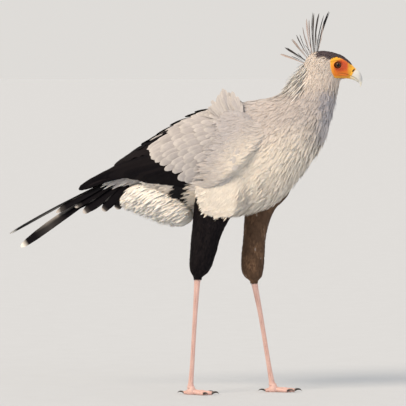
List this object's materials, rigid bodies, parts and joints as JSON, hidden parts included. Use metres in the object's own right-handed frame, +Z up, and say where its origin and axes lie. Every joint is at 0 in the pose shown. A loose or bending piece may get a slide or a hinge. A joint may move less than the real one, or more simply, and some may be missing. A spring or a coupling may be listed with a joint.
{
  "type": "secretary bird figure",
  "caption": "Life-size secretary bird standing in a slow stride, with raised crest, folded wings, long tail and long bare legs.",
  "frame": {"origin": "on the floor, below the centre of the bounding box; the soles rest on Z = 0", "axes": "+X towards the bill, +Y towards the bird's left side, +Z up"},
  "size_m": [1.005, 0.2162, 1.0694],
  "materials": {
    "grey": "soft grey feathers, matt",
    "white": "loose cream-white feathers, matt",
    "black": "black feathers, faint sheen",
    "face": "bare orange skin, satin",
    "bill": "pale grey horn, satin",
    "leg": "pale pink scaled skin, matt",
    "claw": "dark horn, satin",
    "eye": "brown eye, glossy"
  },
  "bodies": {
    "root": {"bill_lower": "bill", "bill_upper": "bill", "claw_left_hind": "claw", "claw_left_inner": "claw", "claw_left_middle": "claw", "claw_left_outer": "claw", "claw_right_hind": "claw", "claw_right_inner": "claw", "claw_right_middle": "claw", "claw_right_outer": "claw", "eye_left": "eye", "eye_right": "eye", "foot_left": "leg", "foot_right": "leg", "head": "face", "hindhead": "grey", "neck": "grey", "shank_left": "leg", "shank_right": "leg", "tail": "black", "thigh_left": "black", "thigh_right": "black", "torso": "grey", "undertail": "white", "wing_left": "grey", "wing_right": "grey"}
  },
  "joints": []
}
